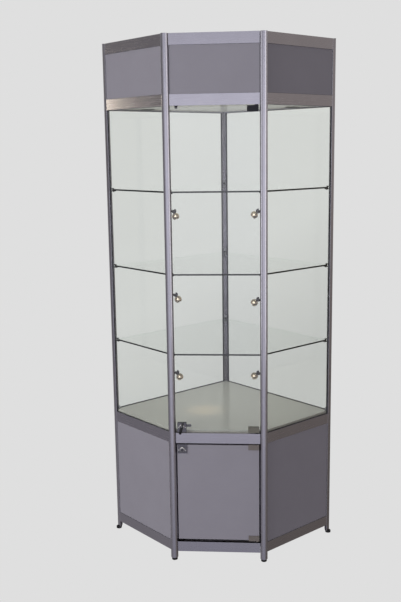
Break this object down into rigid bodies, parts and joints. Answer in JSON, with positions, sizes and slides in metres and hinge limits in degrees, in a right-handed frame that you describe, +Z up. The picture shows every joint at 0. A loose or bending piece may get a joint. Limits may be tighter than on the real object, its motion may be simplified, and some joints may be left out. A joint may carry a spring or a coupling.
{
  "type": "corner display showcase",
  "caption": "Five-sided corner display showcase with a lockable glass door over a lockable cupboard, glass shelves, swivel spotlights and levelling feet.",
  "frame": {"origin": "on the floor plane, midway across the width and midway between the frontmost and rearmost points", "axes": "+Z up, -Y towards the front face with the doors, +X to the viewer's right when facing the doors"},
  "size_m": [0.9016, 0.7372, 1.98],
  "materials": {
    "anodised_aluminium": "satin silver anodised extrusion",
    "grey_panel": "satin grey laminate",
    "clear_glass": "clear float glass with polished edges",
    "pale_board": "semi-gloss pale grey melamine",
    "chrome": "polished chrome plate",
    "clamp_metal": "satin grey-olive cast zinc",
    "black_plastic": "satin black moulded"
  },
  "bodies": {
    "cabinet": {"base_back_left": "grey_panel", "base_back_right": "grey_panel", "base_floor": "grey_panel", "base_panel_left": "grey_panel", "base_panel_right": "grey_panel", "base_rail_front": "anodised_aluminium", "base_rail_left": "anodised_aluminium", "base_rail_right": "anodised_aluminium", "cable_gland": "black_plastic", "ceiling_panel": "pale_board", "display_deck": "pale_board", "fascia_front": "grey_panel", "fascia_left": "grey_panel", "fascia_right": "grey_panel", "glass_back_left": "clear_glass", "glass_back_right": "clear_glass", "glass_left": "clear_glass", "glass_right": "clear_glass", "header_back_left": "grey_panel", "header_back_right": "grey_panel", "header_rail_front": "anodised_aluminium", "header_rail_left": "anodised_aluminium", "header_rail_right": "anodised_aluminium", "plinth_rail_front": "anodised_aluminium", "plinth_rail_left": "anodised_aluminium", "plinth_rail_right": "anodised_aluminium", "post_front_left": "anodised_aluminium", "post_front_right": "anodised_aluminium", "post_rear": "anodised_aluminium", "post_side_left": "anodised_aluminium", "post_side_right": "anodised_aluminium", "roof_panel": "grey_panel", "shelf_1": "clear_glass", "shelf_2": "clear_glass", "shelf_3": "clear_glass", "top_rail_front": "anodised_aluminium", "top_rail_left": "anodised_aluminium", "top_rail_right": "anodised_aluminium"},
    "glass_door": {"glass_door": "clear_glass", "glass_door_clamp_top": "black_plastic", "glass_door_clamp_bottom": "clamp_metal", "glass_door_lock_housing": "chrome"},
    "glass_door_lock": {"glass_door_lock_plug": "chrome"},
    "key": {"key": "black_plastic"},
    "base_door": {"base_door": "grey_panel", "base_door_clamp_top": "clamp_metal", "base_door_clamp_bottom": "clamp_metal", "base_door_lock_housing": "chrome"},
    "base_door_lock": {"base_door_lock_plug": "chrome"},
    "lamp_left_1": {"lamp_left_1": "chrome"},
    "lamp_left_2": {"lamp_left_2": "chrome"},
    "lamp_left_3": {"lamp_left_3": "chrome"},
    "lamp_right_1": {"lamp_right_1": "chrome"},
    "lamp_right_2": {"lamp_right_2": "chrome"},
    "lamp_right_3": {"lamp_right_3": "chrome"},
    "foot_front_left": {"foot_front_left": "black_plastic"},
    "foot_front_right": {"foot_front_right": "black_plastic"},
    "foot_side_right": {"foot_side_right": "black_plastic"},
    "foot_rear": {"foot_rear": "black_plastic"},
    "foot_side_left": {"foot_side_left": "black_plastic"}
  },
  "joints": [
    {"name": "glass_door_hinge", "type": "hinge", "parent": "cabinet", "child": "glass_door", "pos_m": [0.148, -0.34802, 1.12], "axis": [0, 0, 1], "range_deg": [0, 110]},
    {"name": "glass_door_lock_turn", "type": "hinge", "parent": "glass_door", "child": "glass_door_lock", "pos_m": [-0.1365, -0.34802, 0.5437], "axis": [0, 1, 0], "range_deg": [0, 90]},
    {"name": "key_pull", "type": "slide", "parent": "glass_door_lock", "child": "key", "axis": [0, -1, 0], "range_m": [0, 0.024]},
    {"name": "base_door_hinge", "type": "hinge", "parent": "cabinet", "child": "base_door", "pos_m": [0.148, -0.34802, 0.28], "axis": [0, 0, 1], "range_deg": [0, 110]},
    {"name": "base_door_lock_turn", "type": "hinge", "parent": "base_door", "child": "base_door_lock", "pos_m": [-0.1365, -0.34802, 0.4531], "axis": [0, -1, 0], "range_deg": [0, 90]},
    {"name": "lamp_left_1_tilt", "type": "hinge", "parent": "cabinet", "child": "lamp_left_1", "pos_m": [-0.154, -0.32202, 1.357], "axis": [0, -1, 0], "range_deg": [-16, 84]},
    {"name": "lamp_left_2_tilt", "type": "hinge", "parent": "cabinet", "child": "lamp_left_2", "pos_m": [-0.154, -0.32202, 1.047], "axis": [0, -1, 0], "range_deg": [-27, 73]},
    {"name": "lamp_left_3_tilt", "type": "hinge", "parent": "cabinet", "child": "lamp_left_3", "pos_m": [-0.154, -0.32202, 0.748], "axis": [0, -1, 0], "range_deg": [-30, 70]},
    {"name": "lamp_right_1_tilt", "type": "hinge", "parent": "cabinet", "child": "lamp_right_1", "pos_m": [0.154, -0.32202, 1.355], "axis": [0, 1, 0], "range_deg": [-46, 54]},
    {"name": "lamp_right_2_tilt", "type": "hinge", "parent": "cabinet", "child": "lamp_right_2", "pos_m": [0.154, -0.32202, 1.029], "axis": [0, 1, 0], "range_deg": [-51, 49]},
    {"name": "lamp_right_3_tilt", "type": "hinge", "parent": "cabinet", "child": "lamp_right_3", "pos_m": [0.154, -0.32202, 0.748], "axis": [0, 1, 0], "range_deg": [-52, 48]},
    {"name": "foot_front_left_screw", "type": "slide", "parent": "cabinet", "child": "foot_front_left", "axis": [0, 0, -1], "range_m": [0, 0.012]},
    {"name": "foot_front_right_screw", "type": "slide", "parent": "cabinet", "child": "foot_front_right", "axis": [0, 0, -1], "range_m": [0, 0.012]},
    {"name": "foot_side_right_screw", "type": "slide", "parent": "cabinet", "child": "foot_side_right", "axis": [0, 0, -1], "range_m": [0, 0.012]},
    {"name": "foot_rear_screw", "type": "slide", "parent": "cabinet", "child": "foot_rear", "axis": [0, 0, -1], "range_m": [0, 0.012]},
    {"name": "foot_side_left_screw", "type": "slide", "parent": "cabinet", "child": "foot_side_left", "axis": [0, 0, -1], "range_m": [0, 0.012]}
  ]
}
